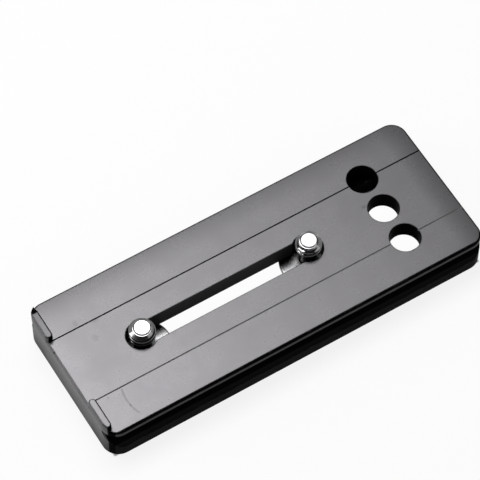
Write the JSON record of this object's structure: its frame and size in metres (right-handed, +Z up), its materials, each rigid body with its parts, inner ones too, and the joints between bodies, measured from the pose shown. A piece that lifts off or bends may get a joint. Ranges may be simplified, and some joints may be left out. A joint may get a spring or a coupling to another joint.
{
  "type": "tripod quick release plate",
  "caption": "Long dovetail quick release plate in black anodised aluminium, with captive camera screws in a slot and raised lips that stop a camera from twisting.",
  "frame": {"origin": "middle of the underside", "axes": "+X along the plate, from the end with the lips to the end with the holes; +Y across the plate to the back long side; +Z up, out of the deck"},
  "size_m": [0.0996, 0.0388, 0.0134],
  "materials": {
    "black_anodised": "satin",
    "screw_steel": "polished"
  },
  "bodies": {
    "plate": {"plate_body": "black_anodised"},
    "left_screw": {"left_camera_screw": "screw_steel"},
    "right_screw": {"right_camera_screw": "screw_steel"}
  },
  "joints": [
    {"name": "left_screw_slide", "type": "slide", "parent": "plate", "child": "left_screw", "axis": [1, 0, 0], "range_m": [-0.0017, 0.015]},
    {"name": "right_screw_slide", "type": "slide", "parent": "plate", "child": "right_screw", "axis": [1, 0, 0], "range_m": [-0.015, 0.0013]}
  ]
}
